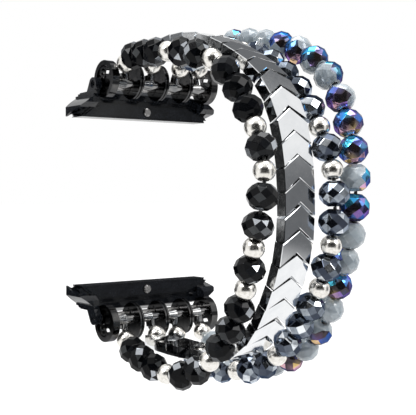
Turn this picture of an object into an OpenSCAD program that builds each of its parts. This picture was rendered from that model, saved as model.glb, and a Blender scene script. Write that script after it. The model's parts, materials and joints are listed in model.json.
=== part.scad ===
// Beaded stretch band of four strands with swivelling end connectors and slide-in lug adapters.
// Axes: X runs across the band from strand 1 to strand 4, -Y points from the lugs out to the far
// side of the loop, and Z runs from the bottom lug to the top lug. The origin is halfway
// between the two lug seats.

/* [Lug fit] */
// Distance between the two lug seat planes
lug_span = 44; // [38:0.5:50]
// Length of the lug rail along X, between its rounded ends
rail_len = 35; // [33:0.5:38]
// Thickness of the lug rail along Y
rail_t = 5; // [4.4:0.1:6]
// Depth of the lug rail below the seat plane
rail_depth = 4; // [3.4:0.1:4.4]
// Room between the rail and the deck for the lips of the lug slot
lip_t = 0.8; // [0.6:0.1:1]
// Thickness of the neck that leaves the slot
neck_t = 3.4; // [2.8:0.1:4]
// Height of the deck above the seat plane
deck_h = 1.1; // [0.8:0.1:1.2]
// Height of the ridge between the lug ears above the seat plane
ridge_h = 1.5; // [1.3:0.1:1.7]
// Rise of the ridge's front edge above its back edge
crest_h = 0.9; // [0:0.1:1]
// Thickness of the wings that follow the rounded corners of the lug
wing_t = 1.6; // [1.4:0.1:1.8]

/* [Loop] */
// Reach of the strands' centre lines behind the strand bars, to the far side of the loop
loop_reach = 49.1; // [45:0.1:56]
// Rise of the strands' centre lines past the strand bars, at the top and at the bottom
loop_rise = 9.4; // [8.4:0.1:12]

/* [Connectors] */
// Distance between neighbouring strands at the connectors
strand_pitch = 6.4; // [6.3:0.1:7.5]
// Distance of the spring bar from the mid plane of the lugs, towards the wrist
pivot_back = 5; // [4.6:0.1:6]
// Height of the spring bar above the seat plane
pivot_h = 2.6; // [2.4:0.1:3.4]
// Distance from the spring bar back to the strand bar
bar_reach = 3.6; // [3.4:0.1:4.4]
// Height of the strand bar above the spring bar
bar_rise = 0.3; // [0.2:0.1:0.6]
// Outer radius of the connector plates
plate_r = 3.9; // [3.8:0.1:4.4]
// Width of the rim of the connector plates
rim_w = 1; // [0.8:0.1:1.2]
// Thickness of the two end plates
end_plate_t = 1.6; // [1.2:0.1:2]
// Thickness of the three inner plates
inner_plate_t = 1; // [0.8:0.1:1.2]
// Radius of the strand bar
strand_bar_r = 0.6; // [0.5:0.05:0.65]
// Thickness of the lug ears
ear_t = 1.4; // [1.2:0.1:1.6]
// Outer radius of the lug ears
ear_r = 1.45; // [1.35:0.05:1.6]

/* [Spring bars] */
// Outer radius of the spring bar tube
tube_r = 0.9; // [0.8:0.05:1]
// Radius of the spring bar tips
tip_r = 0.45; // [0.35:0.05:0.5]
// Travel that draws a spring bar tip out of its ear
tip_travel = 1.3; // [1.2:0.1:1.4]
// Running clearance of pins, bars and tips in their holes
run_gap = 0.05; // [0.02:0.01:0.1]

/* [Beads] */
// Diameter of the faceted beads
bead_d = 5.8; // [5:0.1:5.9]
// Length of the faceted beads along the cord
bead_len = 4.5; // [4:0.1:5.2]
// Length of the pale agate beads along the cord
agate_len = 4.85; // [4:0.05:5.2]
// Number of facets around a faceted bead
bead_facets = 8; // [8:1:12]
// Diameter of the round silver balls
ball_d = 4; // [3.4:0.1:4.6]
// Length of a silver ball between its drilled ends
ball_len = 3.4; // [3:0.1:3.5]
// Width of the chevron plates
chevron_w = 7; // [5.6:0.1:7]
// Length of a chevron plate along the cord
chevron_len = 4; // [3.4:0.1:4.6]
// How far the point of a chevron runs ahead of its sides
chevron_rise = 2.4; // [1.6:0.1:3]
// Thickness of the chevron plates
chevron_t = 2.2; // [1.9:0.1:2.6]
// Width of the bevel around the chevron faces
chevron_bevel = 0.1; // [0.05:0.05:0.4]

/* [Cords] */
// Diameter of the elastic cord
cord_d = 0.7; // [0.5:0.05:0.8]
// Diameter of the drilled holes in the beads
hole_d = 1.4; // [1.2:0.1:1.5]
// Extra room between beads where one row meets the next
row_gap = 0.3; // [0.2:0.05:0.5]
// How far two rows can be pulled apart
row_stretch = 4; // [3:0.5:4]

/* [Hidden] */
eps = 0.01;
least_slack = 0.3;
rows = 6;
strand_count = 4;

seat_z = lug_span / 2;
pivot_y = -pivot_back;
pivot_z = seat_z + pivot_h;
bar_y = pivot_y - bar_reach;
bar_z = pivot_z + bar_rise;
plate_y = (pivot_y + bar_y) / 2;
plate_z = (pivot_z + bar_z) / 2 + 0.9;
boss_r = 1.5;
end_plate_x = 2 * strand_pitch;
ear_gap = 0.2;
ear_x = end_plate_x + end_plate_t / 2 + ear_gap;
stem_len = 1.95;
stem_r = 1.05;
barrel_len = 3.8;
barrel_r = 1.2;
barrel_end_r = 0.9;
cord_seat = 1.45;
cord_gap = 0.1;
pull_len = row_stretch + 0.7;
table_r = 1.25;
bend_room = 1.3;
bend_step = 4;
point_gap = 0.8;
bead_turn = 47;
groove_w = 0.3;
vine_w = 0.45;
vine_stem_r = 2.3;
vine_stem_back = 2.1;
vine_stem_arc = [-65, 32];
vine_curl_r = 0.95;
vine_curl_up = 1.5;
vine_curl_arc = [-150, 140];
vine_leaf_arc = [20, 310];
tube_end_x = end_plate_x + end_plate_t / 2 - 0.1;
tube_bore_r = 0.65;
cap_len = 0.8;
head_len = 1;
head_x = tube_end_x - cap_len - 0.1;
corner_r = 9.5;
corner_x = rail_len / 2 - 8;
rail_edge = 0.4;
wing_x = corner_x + 3;
heel_y = pivot_y - 0.1;
sink_r = 0.85;
sink_t = 0.3;
tip_end_x = tube_end_x + ear_gap + 0.1 + tip_travel - 0.5;
web_inset = 0.15;
crest_slope = 4;
latch_r = 0.9;
latch_len = 2.4;
latch_proud = 0.5;
latch_well = 3.6;
latch_z = seat_z - (rail_depth + lip_t) / 2;
function strand_x(j) = (j - (strand_count - 1) / 2) * strand_pitch;

// Routes of the four strands between the strand bars. The first number of each point is a
// sideways shift from the strand's place at the connector, and the other two are Y and Z.
route_1 = [[-0.1, -8.7, 28.2], [-1, -11.9, 29.8], [-1.7, -16.9, 29.7], [-2, -22.5, 29.5],
    [-2.2, -28.4, 28.9], [-2, -34.3, 28], [-1.4, -40.2, 26.5], [-0.9, -45.3, 22.9], [-0.9, -49.6, 17.8],
    [-1.4, -53.4, 12.5], [-2.2, -56.4, 6.9], [-2.7, -56.6, 1.2], [-2.6, -55, -4.3], [-2, -52.6, -10.3],
    [-1.2, -49.7, -16.3], [-0.9, -46, -22.1], [-0.9, -41.4, -27.5], [-1.2, -35.8, -31.5],
    [-1.7, -29.4, -33.4], [-2.1, -23.1, -32.7], [-1.8, -16.8, -31.2], [-1, -11.9, -30],
    [-0.1, -8.4, -28.3]];
route_2 = [[0, -8.7, 28.5], [0, -12.2, 31], [-0.1, -17.5, 32.2], [-0.2, -22.9, 32.5],
    [-0.2, -28.6, 32], [-0.2, -34.2, 30.4], [-0.2, -39.3, 28], [-0.2, -44.3, 25.3],
    [-0.2, -48.6, 21.9], [-0.2, -51.7, 17.6], [-0.2, -53.6, 12.4], [-0.2, -54.7, 6.7],
    [-0.2, -55.1, 0.9], [-0.2, -54.9, -5.1], [-0.2, -53.6, -10.8], [-0.2, -51.3, -16.1],
    [-0.2, -48.4, -21], [-0.2, -44.3, -25.5], [-0.2, -39, -28.2], [-0.2, -32.8, -29.4],
    [-0.2, -26.2, -29.9], [-0.1, -20, -29.9], [0, -13.8, -29.5], [0, -9.6, -27.6]];
route_3 = [[0.1, -9.5, 27.8], [0.2, -12.9, 30.3], [0.2, -18, 30.9], [0.2, -23.6, 30.9],
    [0.2, -29.5, 30.3], [0.2, -35.1, 29], [0.2, -39.9, 26.9], [0.2, -44.1, 24.1], [0.2, -48, 20.8],
    [0.2, -51.5, 16.9], [0.2, -54.6, 12.3], [0.2, -56.9, 6.8], [0.2, -57.7, 0.9], [0.2, -57.3, -5],
    [0.2, -55.9, -10.8], [0.2, -53.2, -16.5], [0.2, -49.4, -21.6], [0.2, -44.9, -27],
    [0.2, -39.3, -31.2], [0.2, -32.8, -33.4], [0.2, -26.1, -34.3], [0.2, -19.3, -33.9],
    [0.2, -12.7, -32.1], [0.1, -8.5, -28.7]];
route_4 = [[0, -8.2, 28.9], [0, -11.8, 31.5], [0, -16.2, 33.3], [0, -21.6, 33.6], [0, -27.4, 32.9],
    [-0.1, -33.7, 31.6], [-0.1, -39.9, 30.2], [-0.2, -45.2, 27.7], [-0.2, -49.8, 24],
    [-0.2, -53.2, 19.2], [-0.2, -55.4, 13.5], [-0.2, -56.7, 7.5], [-0.2, -56.9, 1.5],
    [-0.2, -56.1, -4.6], [-0.2, -54.1, -10.7], [-0.2, -51.8, -16.7], [-0.2, -48.7, -22.7],
    [-0.2, -44.5, -27.4], [-0.1, -39.1, -30.8], [-0.1, -33, -32.6], [0, -26.4, -33.1], [0, -19.9, -32.5],
    [0, -13.2, -31], [0, -9.1, -28.3]];
routes = [route_1, route_2, route_3, route_4];
// The routes are drawn for the nominal loop, and their Y and Z grow and shrink with it
drawn_far = [for (axis = [1, 2]) max([for (r = routes, p = r) abs(p[axis])])];
loop_scale = [(loop_reach - bar_y) / drawn_far[0], (bar_z + loop_rise) / drawn_far[1]];

// Bead order of each strand from the top connector: b faceted bead, s silver ball, c chevron plate,
// a agate bead. A strand takes as many as its length holds and always ends in a silver ball.
orders = ["sbbbsbbsbbbsbsbbsbsbbbsbbsbbbsbbsbbbs", "scccccccccccccccccccccccccccccccccccc",
    "sbsbbsbbbbbsbsbbsbsbbbsbbsbbbsbbsbbbs", "sasaaaaaaaaaaaaaaaaaaaaaaaaaaaaaaaaaa"];
// Share of a strand's length at which each row but the last ends
row_ends = [0.17, 0.335, 0.5, 0.665, 0.83];

function unit(v) = v / norm(v);
function mean(v) = [for (x = v) 1] * v / len(v);
function spline_point(a, b, c, d, t) =
    0.5 * (2 * b + (c - a) * t + (2 * a - 5 * b + 4 * c - d) * t ^ 2 + (3 * b - a - 3 * c + d) * t ^ 3);
function spline(p, n) = [
    for (i = [0:len(p) - 2], k = [0:n - 1])
        spline_point(p[max(i - 1, 0)], p[i], p[i + 1], p[min(i + 2, len(p) - 1)], k / n),
    p[len(p) - 1]];
function running_length(p) = [
    for (i = 0, s = 0; i < len(p); s = s + (i + 1 < len(p) ? norm(p[i + 1] - p[i]) : 0), i = i + 1) s];
function table(s, p, axis) = [for (i = [0:len(p) - 1]) [s[i], p[i][axis]]];
function tables(p) = let (s = running_length(p)) [for (axis = [0:2]) table(s, p, axis)];
function at(t, s) = [for (axis = [0:2]) lookup(s, t[axis])];
function total(t) = t[0][len(t[0]) - 1][0];

// The strands' centre lines, from one strand bar to the other
scaled = [for (r = routes) [for (p = r) [p.x, p.y * loop_scale[0], p.z * loop_scale[1]]]];
paths = [for (j = [0:strand_count - 1]) tables(spline([
    for (p = concat([[0, bar_y, bar_z]], scaled[j], [[0, bar_y, -bar_z]])) p + [strand_x(j), 0, 0]], 6))];

// Beads along a strand
function item_len(kind) =
    kind == "s" ? ball_len : kind == "c" ? chevron_len : kind == "a" ? agate_len : bead_len;
function run_up(order) = [
    for (i = 0, s = 0; i <= len(order); s = s + (i < len(order) ? item_len(order[i]) : 0), i = i + 1) s];
room = [for (t = paths) total(t) - 2 * stem_len - (rows - 1) * row_gap];
counts = [for (j = [0:strand_count - 1]) let (before = run_up(orders[j]))
    len([for (i = [1:len(orders[j])]) if (before[i] + ball_len + (i + 2) * least_slack <= room[j]) i])];
kinds = [for (j = [0:strand_count - 1]) [for (i = [0:counts[j]]) i == counts[j] ? "s" : orders[j][i]]];
before = [for (k = kinds) run_up(k)];
even_slacks = [for (j = [0:strand_count - 1])
    (room[j] - before[j][len(kinds[j])]) / (len(kinds[j]) + 1)];
// Where a strand bends, the flat ends of its beads meet at an angle and need more room
function bend(j, s) = let (
    p = at(paths[j], s),
    a = unit(p - at(paths[j], s - bend_step)),
    b = unit(at(paths[j], s + bend_step) - p))
    acos(min(1, a * b)) * PI / 180;
// The point of a chevron plate runs ahead of it, and a ball in front of the point needs that room
function point_room(j, i) = i > 0 && kinds[j][i - 1] == "s" && kinds[j][i] == "c" ? point_gap : 0;
needs = [for (j = [0:strand_count - 1]) [for (i = [0:len(kinds[j])])
    bend_room * bend(j, stem_len + before[j][i] + (i + 0.5) * even_slacks[j]) + point_room(j, i)]];
spare = [for (j = [0:strand_count - 1]) even_slacks[j] - mean(needs[j])];
gaps_up = [for (j = [0:strand_count - 1])
    [for (i = 0, g = needs[j][0] + spare[j]; i < len(kinds[j]); i = i + 1, g = g + needs[j][i] + spare[j]) g]];
function row_of(j, i) = let (share = (before[j][i] + before[j][i + 1]) / 2 / before[j][len(kinds[j])])
    len([for (e = row_ends) if (e < share) e]);
rows_of = [for (j = [0:strand_count - 1]) [for (i = [0:len(kinds[j]) - 1]) row_of(j, i)]];
function entry_s(j, i) = stem_len + before[j][i] + gaps_up[j][i] + rows_of[j][i] * row_gap;
function exit_s(j, i) = entry_s(j, i) + item_len(kinds[j][i]);

// Each bead's axis is the chord between the two ends of its stretch of the path
ends_s = [for (j = [0:strand_count - 1]) concat([0, stem_len],
    [for (i = [0:len(kinds[j]) - 1]) each [entry_s(j, i), exit_s(j, i)]],
    [total(paths[j]) - stem_len, total(paths[j])])];
chords = [for (j = [0:strand_count - 1])
    let (p = [for (s = ends_s[j]) at(paths[j], s)])
    [for (axis = [0:2]) [for (i = [0:len(p) - 1]) [ends_s[j][i], p[i][axis]]]]];
function last_in(j, row) = max([for (i = [0:len(kinds[j]) - 1]) if (rows_of[j][i] == row) i]);

module place(origin, z_axis) {
    x_axis = unit([1, 0, 0] - z_axis * z_axis.x);
    y_axis = cross(z_axis, x_axis);
    multmatrix([[x_axis.x, y_axis.x, z_axis.x, origin.x], [x_axis.y, y_axis.y, z_axis.y, origin.y],
        [x_axis.z, y_axis.z, z_axis.z, origin.z]]) children();
}

module along_x(x0, x1) {
    translate([x0, 0, 0]) rotate([90, 0, 90]) linear_extrude(x1 - x0) children();
}

module x_rod(r, x0, x1, y, z) {
    translate([x0, y, z]) rotate([0, 90, 0]) cylinder(r = r, h = x1 - x0, $fn = 48);
}

// A bead with a belt of upright diamonds around its middle, four-sided kites above and below
// them, then triangles, and a band of flat facets round each drilled end
module faceted_bead(len) {
    n = bead_facets;
    r = bead_d / 2;
    half_step = 180 / n;
    belt_h = len * 0.19;
    kite_h = len * 0.385;
    kite_r = r - r * sin(half_step) ^ 2 * kite_h / belt_h;
    rings = [[table_r, -len / 2, 0], [kite_r, -kite_h, 0], [r * cos(half_step), -belt_h, half_step], [r, 0, 0],
        [r * cos(half_step), belt_h, half_step], [kite_r, kite_h, 0], [table_r, len / 2, 0]];
    points = [for (ring = rings, i = [0:n - 1]) let (a = i * 360 / n + ring[2])
        [ring[0] * cos(a), ring[0] * sin(a), ring[1]]];
    function at_ring(ring, i) = ring * n + (i + n) % n;
    faces = [for (i = [0:n - 1]) each [
        [at_ring(4, i), at_ring(3, i + 1), at_ring(2, i), at_ring(3, i)],
        [at_ring(5, i), at_ring(4, i), at_ring(3, i), at_ring(4, i - 1)],
        [at_ring(5, i), at_ring(5, i + 1), at_ring(4, i)],
        [at_ring(6, i), at_ring(6, i + 1), at_ring(5, i + 1), at_ring(5, i)],
        [at_ring(3, i), at_ring(2, i), at_ring(1, i), at_ring(2, i - 1)],
        [at_ring(2, i), at_ring(1, i + 1), at_ring(1, i)],
        [at_ring(1, i), at_ring(1, i + 1), at_ring(0, i + 1), at_ring(0, i)]]];
    ends = [[for (i = [n - 1:-1:0]) at_ring(6, i)], [for (i = [0:n - 1]) at_ring(0, i)]];
    difference() {
        polyhedron(points, concat(faces, ends));
        cylinder(r = hole_d / 2, h = len + 1, center = true, $fn = 24);
    }
}

module silver_ball() {
    difference() {
        intersection() {
            sphere(r = ball_d / 2, $fn = 48);
            cylinder(r = ball_d, h = ball_len, center = true, $fn = 24);
        }
        cylinder(r = hole_d / 2, h = ball_d + 1, center = true, $fn = 24);
    }
}

// An arrow-shaped plate that points to the top connector, with its bevelled face outwards
module chevron_plate() {
    function outline(in, z) = let (w = chevron_w / 2 - in, l = chevron_len / 2, rise = chevron_rise / 2)
        [[-w, in * 0.6 - l - rise, z], [0, in * 1.3 - l + rise, z], [w, in * 0.6 - l - rise, z],
        [w, l - rise - in * 1.3, z], [0, l + rise - in * 1.3, z], [-w, l - rise - in * 1.3, z]];
    t = chevron_t / 2;
    points = concat(outline(0, -t), outline(0, t - chevron_bevel), outline(chevron_bevel, t));
    ring = [0, 1, 2, 3, 4, 5];
    faces = concat([[0, 1, 4, 5], [1, 2, 3, 4], [17, 16, 13, 12], [16, 15, 14, 13]],
        [for (k = [0, 6], i = ring) [k + i, k + 6 + i, k + (i + 1) % 6]],
        [for (k = [0, 6], i = ring) [k + (i + 1) % 6, k + 6 + i, k + 6 + (i + 1) % 6]]);
    difference() {
        rotate([-90, 0, 0]) polyhedron(points, faces);
        cylinder(r = hole_d / 2, h = 3 * chevron_len, center = true, $fn = 24);
    }
}

module item(j, i) {
    kind = kinds[j][i];
    a = at(chords[j], entry_s(j, i));
    b = at(chords[j], exit_s(j, i));
    turn = kind == "c" ? 0 : i * bead_turn;
    place((a + b) / 2, unit(b - a)) rotate([0, 0, turn]) {
        if (kind == "s") silver_ball();
        if (kind == "b") faceted_bead(bead_len);
        if (kind == "a") faceted_bead(agate_len);
        if (kind == "c") chevron_plate();
    }
}

module items(row, strands, kind) {
    for (j = strands, i = [0:len(kinds[j]) - 1])
        if (kinds[j][i] == kind && rows_of[j][i] == row) item(j, i);
}

// Elastic cord between two places on a strand, as a tube of six sides
module cord(j, s0, s1) {
    stops = concat([s0], [for (s = ends_s[j]) if (s > s0 + eps && s < s1 - eps) s], [s1]);
    p = [for (s = stops) at(chords[j], s)];
    n = len(p);
    sides = 6;
    points = [for (i = [0:n - 1]) let (
        way = unit(p[min(i + 1, n - 1)] - p[max(i - 1, 0)]),
        u = unit([1, 0, 0] - way * way.x),
        v = cross(way, u))
        for (k = [0:sides - 1]) p[i] + cord_d / 2 * (u * cos(k * 360 / sides) + v * sin(k * 360 / sides))];
    faces = concat([[for (k = [0:sides - 1]) k]],
        [for (i = [0:n - 2], k = [0:sides - 1]) [i * sides + k, (i + 1) * sides + k, i * sides + (k + 1) % sides]],
        [for (i = [0:n - 2], k = [0:sides - 1]) [i * sides + (k + 1) % sides, (i + 1) * sides + k,
            (i + 1) * sides + (k + 1) % sides]],
        [[for (k = [sides - 1:-1:0]) (n - 1) * sides + k]]);
    polyhedron(points, faces);
}

// Cord inside one row. It starts clear of the cord that pulls out of the row's first bead.
module row_cords(row) {
    for (j = [0:strand_count - 1]) {
        first_free = row == 0 ? cord_seat : exit_s(j, last_in(j, row - 1)) + cord_gap + pull_len + 2 * cord_gap;
        last_free = row == rows - 1 ? total(paths[j]) - cord_seat : exit_s(j, last_in(j, row)) - 3 * cord_gap;
        cord(j, first_free, last_free);
    }
}

// Cord that bridges two rows and slides in the first beads of the second row
module bridge_cords(row) {
    for (j = [0:strand_count - 1]) {
        start = exit_s(j, last_in(j, row)) + cord_gap;
        cord(j, start, start + pull_len);
    }
}

// The way in which a strand leaves its bar. The bottom end's is given as if drawn at the top.
function stem_way(j, bottom) = let (
    end = total(paths[j]),
    v = bottom ? at(chords[j], end - stem_len) - at(chords[j], end) : at(chords[j], stem_len) - at(chords[j], 0))
    unit([v.x, v.y, bottom ? -v.z : v.z]);

// Barrel that swivels on the strand bar, with a stem that holds the end of a strand's cord
module end_fitting(way) {
    difference() {
        union() {
            for (side = [0, 1]) mirror([side, 0, 0]) rotate([0, 90, 0])
                cylinder(h = barrel_len / 2, r1 = barrel_r, r2 = barrel_end_r, $fn = 48);
            place([0, 0, 0], way) cylinder(h = stem_len, r = stem_r, $fn = 32);
        }
        x_rod(strand_bar_r + run_gap, -barrel_len, barrel_len, 0, 0);
        place([0, 0, 0], way) translate([0, 0, cord_seat - cord_gap])
            cylinder(h = stem_len, r = cord_d / 2 + cord_gap, $fn = 24);
    }
}

module end_fittings(bottom) {
    for (j = [0:strand_count - 1]) translate([strand_x(j), bar_y, bar_z]) end_fitting(stem_way(j, bottom));
}

// A curved strip of even width in the plate's plane
module scroll(y, z, r, w, from, to) {
    n = 12;
    function arc(r, a, b) = [for (i = [0:n]) let (t = a + (b - a) * i / n) [y + r * cos(t), z + r * sin(t)]];
    polygon(concat(arc(r + w / 2, from, to), arc(r - w / 2, to, from)));
}

module rim(r) {
    difference() {
        translate([plate_y, plate_z]) circle(r = r, $fn = 64);
        translate([plate_y, plate_z]) circle(r = plate_r - rim_w, $fn = 64);
    }
}

module bosses() {
    translate([pivot_y, pivot_z]) circle(r = boss_r, $fn = 48);
    translate([bar_y, bar_z]) circle(r = boss_r, $fn = 48);
}

// Vine in the open middle of an end plate: a stem that forks into two curls
module vine() {
    scroll(plate_y - vine_stem_back, plate_z - 0.2, vine_stem_r, vine_w, vine_stem_arc[0], vine_stem_arc[1]);
    scroll(plate_y + 0.5, plate_z + vine_curl_up, vine_curl_r, vine_w, vine_curl_arc[0], vine_curl_arc[1]);
    scroll(plate_y - 1.3, plate_z + vine_curl_up, vine_curl_r, vine_w, vine_leaf_arc[0], vine_leaf_arc[1]);
}

module connector_frame() {
    difference() {
        union() {
            for (side = [-1, 1]) {
                x0 = side * end_plate_x - end_plate_t / 2;
                along_x(x0, x0 + end_plate_t) rim(plate_r);
                along_x(x0 + 0.2, x0 + end_plate_t - 0.2) {
                    bosses();
                    vine();
                }
            }
            for (x = [-strand_pitch, 0, strand_pitch]) {
                along_x(x - inner_plate_t / 2, x - groove_w / 2) rim(plate_r);
                along_x(x + groove_w / 2, x + inner_plate_t / 2) rim(plate_r);
                along_x(x - groove_w / 2, x + groove_w / 2) rim(plate_r - groove_w);
                along_x(x - inner_plate_t / 2 + web_inset, x + inner_plate_t / 2 - web_inset)
                    translate([plate_y, plate_z]) circle(r = plate_r - rim_w / 2, $fn = 64);
                along_x(x - inner_plate_t / 2, x + inner_plate_t / 2) bosses();
            }
            x_rod(strand_bar_r, -end_plate_x, end_plate_x, bar_y, bar_z);
        }
        x_rod(tube_r + run_gap, -end_plate_x - end_plate_t, end_plate_x + end_plate_t, pivot_y, pivot_z);
    }
}

module spring_bar_tube() {
    difference() {
        x_rod(tube_r, -tube_end_x, tube_end_x, pivot_y, pivot_z);
        x_rod(tip_r + run_gap, -tube_end_x - 1, tube_end_x + 1, pivot_y, pivot_z);
        x_rod(tube_bore_r, -tube_end_x + cap_len, tube_end_x - cap_len, pivot_y, pivot_z);
    }
}

module spring_bar_tip() {
    x_rod(tip_r, head_x - eps, tip_end_x, pivot_y, pivot_z);
    x_rod(tube_bore_r - run_gap, head_x - head_len, head_x, pivot_y, pivot_z);
}

module spring_bar_spring() {
    end_x = head_x - head_len;
    difference() {
        x_rod(tube_bore_r - run_gap, -end_x, end_x, pivot_y, pivot_z);
        x_rod(tip_r - run_gap, -end_x - 1, end_x + 1, pivot_y, pivot_z);
    }
}

// Outline in the XZ plane of a bar that fills the lug slot: a flat floor, and a top that is flat
// in the middle and follows the rounded corners of the lug at both ends
module slot_outline(down, in) {
    r = corner_r - down - in;
    reach = acos((corner_r - rail_depth + in) / r);
    right = [for (i = [0:16]) let (t = reach * i / 16)
        [corner_x + r * sin(t), seat_z - corner_r + r * cos(t)]];
    left = [for (i = [16:-1:0]) [-right[i].x, right[i].y]];
    polygon(concat(right, left));
}

module along_y(y0, y1) {
    translate([0, y1, 0]) rotate([90, 0, 0]) linear_extrude(y1 - y0) children();
}

// Strip that follows the lug's corner on the outside, from x0 to the end of the rail
module wing_outline(x0) {
    intersection() {
        translate([corner_x, seat_z - corner_r]) difference() {
            circle(r = corner_r + wing_t, $fn = 128);
            circle(r = corner_r, $fn = 128);
        }
        translate([x0, seat_z - rail_depth]) square([rail_len / 2 - x0, rail_depth + wing_t]);
    }
}

// The wings end in a crescent: their lower edge slants across the lug's side
module crescent() {
    along_x(wing_x - 1, rail_len / 2 + 1) polygon([[heel_y - 0.2, seat_z + 2 * wing_t],
        [heel_y, seat_z - 1.1], [heel_y + 1.4, seat_z - 2.1], [rail_t / 2 - 1.5, seat_z - 3.2],
        [rail_t / 2, seat_z - 3.8], [rail_t / 2, seat_z + 2 * wing_t]]);
}

module wing() {
    intersection() {
        union() {
            along_y(-rail_t / 2, rail_t / 2) wing_outline(wing_x);
            along_y(heel_y, eps - rail_t / 2) wing_outline(ear_x);
        }
        crescent();
    }
}

module adapter_ear() {
    difference() {
        along_x(ear_x, ear_x + ear_t) union() {
            translate([pivot_y, pivot_z]) circle(r = ear_r, $fn = 48);
            polygon([[pivot_y - ear_r, pivot_z], [heel_y - 0.3, seat_z + 0.7], [heel_y, seat_z - 1.1],
                [heel_y + 1.4, seat_z - 2], [rail_t / 2 - 0.2, seat_z - 2], [rail_t / 2 - 0.2, seat_z + 0.5],
                [pivot_y + 2.7, seat_z + 0.7], [pivot_y + ear_r * 0.94, pivot_z + ear_r * 0.34]]);
        }
        x_rod(tip_r + run_gap, ear_x - 1, ear_x + ear_t + 1, pivot_y, pivot_z);
        x_rod(sink_r, ear_x + ear_t - sink_t, ear_x + ear_t + 1, pivot_y, pivot_z);
    }
}

// Ridge along the deck. Its front edge rises to a crest, which slopes down to the ears.
module ridge() {
    reach = ear_x + ear_t / 2;
    top = seat_z + ridge_h + crest_h;
    intersection() {
        along_x(-reach, reach) polygon([[-neck_t / 2, seat_z - rail_edge],
            [-neck_t / 2, seat_z + ridge_h - 0.2], [0.3 - neck_t / 2, seat_z + ridge_h],
            [neck_t / 2 - 1, top], [neck_t / 2 - 0.3, top], [neck_t / 2, top - 0.2],
            [neck_t / 2, seat_z - rail_edge]]);
        along_y(-neck_t, neck_t) polygon([[-reach - eps, seat_z - 1], [-reach - eps, seat_z + ridge_h - 0.2],
            [crest_slope - reach, top + eps], [reach - crest_slope, top + eps],
            [reach + eps, seat_z + ridge_h - 0.2], [reach + eps, seat_z - 1]]);
    }
}

module lug_adapter() {
    difference() {
        union() {
            along_y(-rail_t / 2, rail_t / 2) slot_outline(lip_t, rail_edge);
            along_y(rail_edge - rail_t / 2, rail_t / 2 - rail_edge) slot_outline(lip_t, 0);
            along_y(-neck_t / 2, neck_t / 2) slot_outline(0, rail_edge);
            translate([-ear_x - ear_t / 2, -rail_t / 2, seat_z]) cube([2 * ear_x + ear_t, rail_t, deck_h]);
            ridge();
            for (side = [0, 1]) mirror([side, 0, 0]) {
                wing();
                adapter_ear();
                along_y(-neck_t / 2, neck_t / 2) intersection() {
                    translate([corner_x, seat_z - corner_r]) circle(r = corner_r + 0.2, $fn = 128);
                    translate([corner_x, seat_z - 3.4]) square([rail_len / 2 - corner_x, 3.6]);
                }
            }
        }
        translate([0, -rail_t / 2 - 1, latch_z]) rotate([-90, 0, 0])
            cylinder(r = latch_r + run_gap, h = latch_well + 1, $fn = 32);
    }
}

module lug_latch() {
    translate([0, -rail_t / 2 - latch_proud, latch_z]) rotate([-90, 0, 0]) {
        cylinder(r1 = latch_r - 0.2, r2 = latch_r, h = 0.2, $fn = 32);
        translate([0, 0, 0.2]) cylinder(r = latch_r, h = latch_len - 0.2, $fn = 32);
    }
}

module latch_spring() {
    translate([0, -rail_t / 2 - latch_proud + latch_len, latch_z]) rotate([-90, 0, 0])
        difference() {
            cylinder(r = latch_r - 0.15, h = latch_well + latch_proud - latch_len, $fn = 32);
            translate([0, 0, -1]) cylinder(r = latch_r - 0.4, h = latch_well + 2, $fn = 32);
        }
}

module at_end(bottom) {
    mirror([0, 0, bottom ? 1 : 0]) children();
}

module row_onyx_beads(row) color([0.08, 0.08, 0.09]) items(row, [0], "b");
module row_chevron_plates(row) color([0.62, 0.65, 0.68]) items(row, [1], "c");
module row_gunmetal_beads(row) color([0.2, 0.22, 0.25]) items(row, [2], "b");
module row_agate_beads(row) color([0.68, 0.73, 0.78]) items(row, [3], "a");
module row_silver_balls(row) color([0.85, 0.85, 0.83]) items(row, [0:strand_count - 1], "s");
module dark_metal() color([0.13, 0.13, 0.14]) children();
module steel() color([0.7, 0.7, 0.7]) children();
module elastic() color([0.1, 0.1, 0.1]) children();

at_end(false) dark_metal() lug_adapter();  // top_lug_adapter
at_end(false) steel() lug_latch();  // top_lug_latch
at_end(false) steel() latch_spring();  // top_latch_spring
at_end(false) dark_metal() connector_frame();  // top_connector_frame
at_end(false) steel() spring_bar_tube();  // top_spring_bar_tube
at_end(false) steel() mirror([1, 0, 0]) spring_bar_tip();  // top_spring_bar_tip_left
at_end(false) steel() spring_bar_tip();  // top_spring_bar_tip_right
at_end(false) steel() spring_bar_spring();  // top_spring_bar_spring
at_end(false) dark_metal() end_fittings(false);  // top_end_fittings
at_end(true) dark_metal() lug_adapter();  // bottom_lug_adapter
at_end(true) steel() lug_latch();  // bottom_lug_latch
at_end(true) steel() latch_spring();  // bottom_latch_spring
at_end(true) dark_metal() connector_frame();  // bottom_connector_frame
at_end(true) steel() spring_bar_tube();  // bottom_spring_bar_tube
at_end(true) steel() mirror([1, 0, 0]) spring_bar_tip();  // bottom_spring_bar_tip_left
at_end(true) steel() spring_bar_tip();  // bottom_spring_bar_tip_right
at_end(true) steel() spring_bar_spring();  // bottom_spring_bar_spring
at_end(true) dark_metal() end_fittings(true);  // bottom_end_fittings
row_onyx_beads(0);  // row_1_onyx_beads
row_chevron_plates(0);  // row_1_chevron_plates
row_gunmetal_beads(0);  // row_1_gunmetal_beads
row_agate_beads(0);  // row_1_agate_beads
row_silver_balls(0);  // row_1_silver_balls
elastic() row_cords(0);  // row_1_cords
row_onyx_beads(1);  // row_2_onyx_beads
row_chevron_plates(1);  // row_2_chevron_plates
row_gunmetal_beads(1);  // row_2_gunmetal_beads
row_agate_beads(1);  // row_2_agate_beads
row_silver_balls(1);  // row_2_silver_balls
elastic() row_cords(1);  // row_2_cords
row_onyx_beads(2);  // row_3_onyx_beads
row_chevron_plates(2);  // row_3_chevron_plates
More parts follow.
